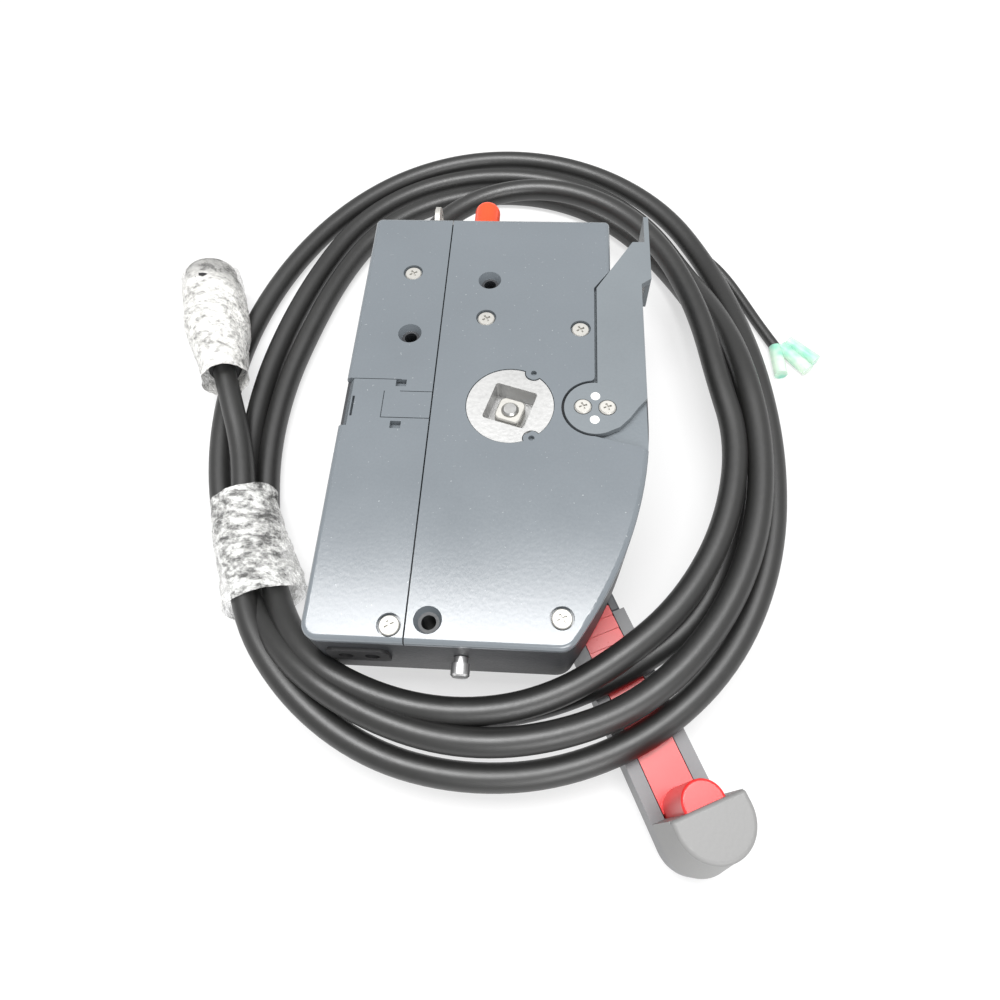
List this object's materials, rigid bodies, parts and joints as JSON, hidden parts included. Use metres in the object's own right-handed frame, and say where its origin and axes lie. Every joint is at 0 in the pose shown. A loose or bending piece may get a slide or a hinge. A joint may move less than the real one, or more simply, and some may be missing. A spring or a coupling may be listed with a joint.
{
  "type": "boat throttle control",
  "caption": "Side-mount boat throttle and gear shift control seen from its mounting side, with red neutral lock, grey lever and a coiled black wiring harness.",
  "frame": {"origin": "on the lever's hub axis, at the face of the hub cap that the control rests on", "axes": "+Z out of the mounting side, along the hub axis; +Y towards the key switch; +X towards the neutral-throttle lever"},
  "size_m": [0.4123, 0.4829, 0.0728],
  "materials": {
    "housing_black": "fine grain",
    "cover_grey": "satin, fine orange peel",
    "cover_grey_dark": "satin",
    "bright_steel": "bright",
    "cast_alloy": "bright",
    "arm_metal": "satin",
    "arm_grey": "satin",
    "grip_grey": "satin",
    "signal_red": "gloss",
    "stop_red": "satin",
    "steel": "machined",
    "knob_silver": "satin",
    "bearing_plastic": "moulded",
    "gear_metal": "machined",
    "black_plastic": "moulded",
    "rubber_black": "moulded",
    "cable_black": "satin",
    "sleeve_green": "translucent"
  },
  "bodies": {
    "box": {"front_housing": "housing_black", "back_cover": "cover_grey", "upper_side_cover": "cover_grey", "cable_cover": "cover_grey", "cover_screws": "bright_steel", "hub_retainer": "cast_alloy", "shaft_bushing": "bearing_plastic", "gear_posts": "steel", "friction_guide": "bearing_plastic", "friction_shoe": "bearing_plastic", "neutral_switch": "black_plastic", "buzzer": "black_plastic", "ignition_switch": "steel", "stop_switch_body": "black_plastic", "cable_grommet": "rubber_black", "harness_boot": "rubber_black", "harness_start": "cable_black", "harness_coil": "cable_black", "harness_coil_raised": "cable_black", "connector_lead": "cable_black", "harness_connector": "black_plastic", "trim_lead": "cable_black", "bullet_connectors": "sleeve_green"},
    "lever": {"lever_arm": "arm_metal", "arm_cover": "arm_grey", "hub_cap": "arm_metal", "main_shaft": "steel", "shaft_nut": "bright_steel", "cam_plate": "gear_metal", "drive_gear": "gear_metal", "friction_drum": "gear_metal", "grip_body": "grip_grey", "grip_cap": "grip_grey"},
    "neutral_lock": {"lock_slide": "signal_red", "lock_trigger": "signal_red"},
    "trim_switch": {"trim_rocker": "black_plastic"},
    "shift_arm": {"shift_gear": "gear_metal", "shift_cable_pin": "steel"},
    "throttle_arm": {"throttle_gear": "gear_metal", "throttle_cable_pin": "steel"},
    "neutral_throttle": {"neutral_throttle_lever": "cover_grey_dark", "flap_screws": "bright_steel", "flap_pins": "bearing_plastic", "flap_shaft": "steel", "idle_cam": "steel"},
    "stop_push_button": {"stop_button": "stop_red"},
    "ignition_key": {"key": "bright_steel"},
    "friction_adjuster": {"friction_knob": "knob_silver", "friction_rod": "steel"}
  },
  "joints": [
    {"name": "lever_hinge", "type": "hinge", "parent": "box", "child": "lever", "pos_m": [0, 0, 0.025], "axis": [0, 0, 1], "range_deg": [-50, 75]},
    {"name": "lock_slide_joint", "type": "slide", "parent": "lever", "child": "neutral_lock", "axis": [0.4163, -0.9092, 0], "range_m": [0, 0.007], "stiffness_N_per_m": 300},
    {"name": "trim_rocker_hinge", "type": "hinge", "parent": "lever", "child": "trim_switch", "pos_m": [0.08898, -0.18582, 0.0044], "axis": [0.9092, 0.4163, 0], "range_deg": [-5, 5], "stiffness_Nm_per_rad": 0.05},
    {"name": "shift_gear_hinge", "type": "hinge", "parent": "box", "child": "shift_arm", "pos_m": [-0.042, 0, 0.0456], "axis": [0, 0, 1], "range_deg": [-37.5, 25]},
    {"name": "throttle_gear_hinge", "type": "hinge", "parent": "box", "child": "throttle_arm", "pos_m": [0, -0.042, 0.0402], "axis": [0, 0, 1], "range_deg": [-37.5, 25]},
    {"name": "neutral_throttle_hinge", "type": "hinge", "parent": "box", "child": "neutral_throttle", "pos_m": [0.0422, -0.0004, 0.05], "axis": [0, 0, -1], "range_deg": [0, 50]},
    {"name": "stop_button_slide", "type": "slide", "parent": "box", "child": "stop_push_button", "axis": [0, -1, 0], "range_m": [0, 0.003], "stiffness_N_per_m": 400},
    {"name": "key_hinge", "type": "hinge", "parent": "box", "child": "ignition_key", "pos_m": [-0.052, 0.137, 0.052], "axis": [0, -1, 0], "range_deg": [0, 90]},
    {"name": "friction_knob_hinge", "type": "hinge", "parent": "box", "child": "friction_adjuster", "pos_m": [-0.016, -0.1225, 0.0524], "axis": [0, -1, 0], "range_deg": [0, 360]}
  ],
  "couplings": [
    {"joint": "shift_gear_hinge", "follows": "lever_hinge", "ratio": -0.5},
    {"joint": "throttle_gear_hinge", "follows": "lever_hinge", "ratio": -0.5}
  ]
}
